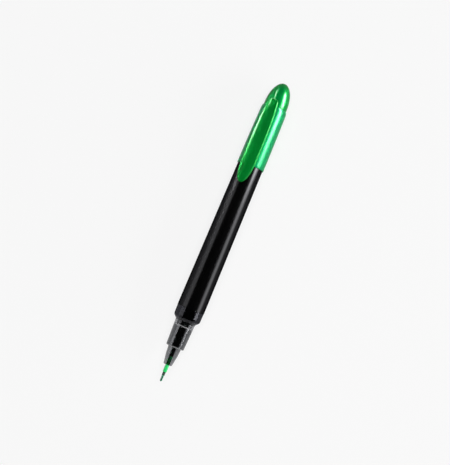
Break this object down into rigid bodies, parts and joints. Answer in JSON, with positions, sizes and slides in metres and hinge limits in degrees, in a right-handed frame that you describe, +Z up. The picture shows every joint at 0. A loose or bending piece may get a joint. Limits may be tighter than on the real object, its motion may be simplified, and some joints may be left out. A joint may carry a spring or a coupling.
{
  "type": "dual tip marker",
  "caption": "Slim round marker with a bare fine tip in a stepped translucent holder at one end and a clip cap over a broader tip at the other, for writing and drawing.",
  "frame": {"origin": "on the table under the middle of the marker's length and of its width", "axes": "+X runs along the marker from the fine tip to the top of the cap, +Z is up from the table it lies on"},
  "size_m": [0.132, 0.0114, 0.0129],
  "materials": {
    "barrel": "gloss black moulded plastic",
    "ink_reservoir": "ink-soaked fibre",
    "reservoir_film": "thin clear film",
    "fine_section": "smoky translucent moulded plastic",
    "fine_wick": "ink-soaked fibre",
    "fine_nib": "dense ink-soaked fibre point",
    "fine_nib_sleeve": "bright green plastic",
    "broad_section": "smoky translucent moulded plastic",
    "broad_nib": "ink-soaked fibre",
    "cap_tube": "satin metallic green",
    "cap_inner_seal": "milky soft plastic",
    "cap_crown": "glossy metallic green",
    "clip": "satin metallic green"
  },
  "bodies": {
    "barrel": {"barrel": "barrel", "ink_reservoir": "ink_reservoir", "reservoir_film": "reservoir_film", "fine_section": "fine_section", "fine_wick": "fine_wick", "fine_nib": "fine_nib", "fine_nib_sleeve": "fine_nib_sleeve", "broad_section": "broad_section", "broad_nib": "broad_nib"},
    "cap": {"cap_tube": "cap_tube", "cap_inner_seal": "cap_inner_seal", "cap_crown": "cap_crown"},
    "clip": {"clip": "clip"}
  },
  "joints": [
    {"name": "cap_slide", "type": "slide", "parent": "barrel", "child": "cap", "axis": [1, 0, 0], "range_m": [0, 0.04]},
    {"name": "clip_flex", "type": "hinge", "parent": "cap", "child": "clip", "pos_m": [0.05636, 0.00107, 0.00989], "axis": [0, 0.9681, -0.2504], "range_deg": [0, 5], "stiffness_Nm_per_rad": 1.2}
  ]
}
